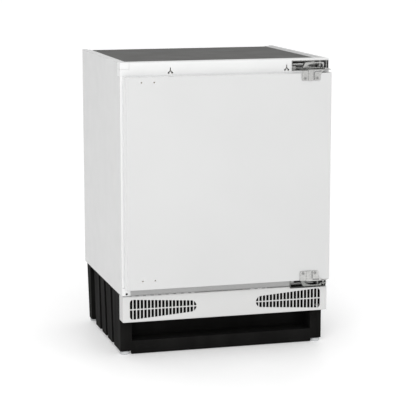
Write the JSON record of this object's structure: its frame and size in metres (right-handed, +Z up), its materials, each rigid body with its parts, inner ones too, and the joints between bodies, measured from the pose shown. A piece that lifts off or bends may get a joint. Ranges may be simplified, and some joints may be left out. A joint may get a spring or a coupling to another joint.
{
  "type": "undercounter refrigerator",
  "caption": "Built-under integrated refrigerator: white insulated cabinet with a flat hinged door, concealed multi-link hinges, plinth grille and black machine base on levelling feet.",
  "frame": {"origin": "on the floor, under the middle of the whole appliance", "axes": "+Z up, -Y out of the door, +X towards the hinge side"},
  "size_m": [0.595, 0.554, 0.818],
  "materials": {
    "white_sheet": "satin",
    "dark_sheet": "satin",
    "galvanised": "satin",
    "white_plastic": "satin",
    "liner_plastic": "gloss",
    "black_plastic": "matte",
    "foam": "matte",
    "clear_glass": "gloss",
    "trim_plastic": "satin",
    "clear_plastic": "gloss",
    "gasket": "matte",
    "hinge_chrome": "satin",
    "pin_steel": "satin",
    "aluminium_plate": "satin",
    "circuit_board": "satin",
    "black_enamel": "satin",
    "cast_block": "matte",
    "black_rubber": "matte",
    "copper": "satin",
    "foot_plastic": "matte"
  },
  "bodies": {
    "cabinet": {"left_side_panel": "white_sheet", "right_side_panel": "white_sheet", "top_panel": "dark_sheet", "back_panel": "galvanised", "bottom_sheet": "galvanised", "insulation_foam": "foam", "inner_liner": "liner_plastic", "top_front_strip": "white_plastic", "strip_corner_cap": "white_plastic", "lower_crossrail": "galvanised", "rail_corner_cover": "white_plastic", "plinth_grille": "white_plastic", "base_frame": "black_plastic", "cabinet_screws": "pin_steel", "lower_shelf_glass": "clear_glass", "upper_shelf_glass": "clear_glass", "crisper_cover_glass": "clear_glass", "shelf_trims": "trim_plastic", "thermostat_housing": "white_plastic", "lamp_cover": "clear_plastic", "lamp_board": "circuit_board", "evaporator_plate": "aluminium_plate", "drain_tube": "white_plastic", "compressor_shell": "black_enamel", "compressor_pump": "cast_block", "compressor_grommets": "black_rubber", "compressor_plate": "galvanised", "relay_box": "black_plastic", "evaporation_pan": "black_plastic", "condenser": "black_enamel", "filter_drier": "copper", "refrigerant_tubes": "copper", "mains_inlet": "black_plastic", "upper_hinge_cup": "hinge_chrome", "lower_hinge_cup": "hinge_chrome", "hinge_pivot_posts": "pin_steel", "hinge_springs": "pin_steel"},
    "door": {"door_panel": "white_sheet", "door_end_caps": "white_plastic", "door_foam": "foam", "door_liner": "liner_plastic", "door_gasket": "gasket", "upper_hinge_flange": "hinge_chrome", "lower_hinge_flange": "hinge_chrome", "flange_pins": "pin_steel", "flange_screws": "pin_steel"},
    "outer_links": {"upper_outer_link": "hinge_chrome", "lower_outer_link": "hinge_chrome"},
    "inner_links": {"upper_inner_link": "hinge_chrome", "lower_inner_link": "hinge_chrome"},
    "upper_bin": {"upper_door_bin": "clear_plastic"},
    "middle_bin": {"middle_door_bin": "clear_plastic"},
    "lower_bin": {"bottle_bin": "clear_plastic"},
    "crisper": {"crisper_drawer": "clear_plastic"},
    "dial": {"thermostat_dial": "white_plastic"},
    "switch": {"light_switch": "white_plastic"},
    "foot_front_left": {"foot_front_left": "foot_plastic"},
    "foot_front_right": {"foot_front_right": "foot_plastic"},
    "foot_rear_left": {"foot_rear_left": "foot_plastic"},
    "foot_rear_right": {"foot_rear_right": "foot_plastic"}
  },
  "joints": [
    {"name": "outer_link_turn", "type": "hinge", "parent": "cabinet", "child": "outer_links", "pos_m": [0.276, -0.216, 0.49075], "axis": [0, 0, 1], "range_deg": [0, 20]},
    {"name": "door_swing", "type": "hinge", "parent": "outer_links", "child": "door", "pos_m": [0.2755, -0.265, 0.49075], "axis": [0, 0, 1], "range_deg": [0, 80]},
    {"name": "inner_link_turn", "type": "hinge", "parent": "cabinet", "child": "inner_links", "pos_m": [0.2645, -0.218, 0.49075], "axis": [0, 0, 1], "range_deg": [0, 10]},
    {"name": "light_switch_press", "type": "slide", "parent": "cabinet", "child": "switch", "axis": [0, -1, 0], "range_m": [0, 0.006]},
    {"name": "thermostat_turn", "type": "hinge", "parent": "cabinet", "child": "dial", "pos_m": [0.202, -0.06, 0.728], "axis": [-1, 0, 0], "range_deg": [0, 270]},
    {"name": "crisper_slide", "type": "slide", "parent": "cabinet", "child": "crisper", "axis": [0, -1, 0], "range_m": [0, 0.07]},
    {"name": "upper_bin_lift", "type": "slide", "parent": "door", "child": "upper_bin", "axis": [0, 0, 1], "range_m": [0, 0.02]},
    {"name": "middle_bin_lift", "type": "slide", "parent": "door", "child": "middle_bin", "axis": [0, 0, 1], "range_m": [0, 0.02]},
    {"name": "lower_bin_lift", "type": "slide", "parent": "door", "child": "lower_bin", "axis": [0, 0, 1], "range_m": [0, 0.02]},
    {"name": "foot_front_left_screw", "type": "slide", "parent": "cabinet", "child": "foot_front_left", "axis": [0, 0, -1], "range_m": [0, 0.015]},
    {"name": "foot_front_right_screw", "type": "slide", "parent": "cabinet", "child": "foot_front_right", "axis": [0, 0, -1], "range_m": [0, 0.015]},
    {"name": "foot_rear_left_screw", "type": "slide", "parent": "cabinet", "child": "foot_rear_left", "axis": [0, 0, -1], "range_m": [0, 0.015]},
    {"name": "foot_rear_right_screw", "type": "slide", "parent": "cabinet", "child": "foot_rear_right", "axis": [0, 0, -1], "range_m": [0, 0.015]}
  ],
  "couplings": [
    {"joint": "outer_link_turn", "follows": "door_swing", "ratio": 0.25},
    {"joint": "inner_link_turn", "follows": "door_swing", "ratio": 0.125},
    {"joint": "light_switch_press", "follows": "door_swing", "m_per_rad": 0.0042972}
  ]
}
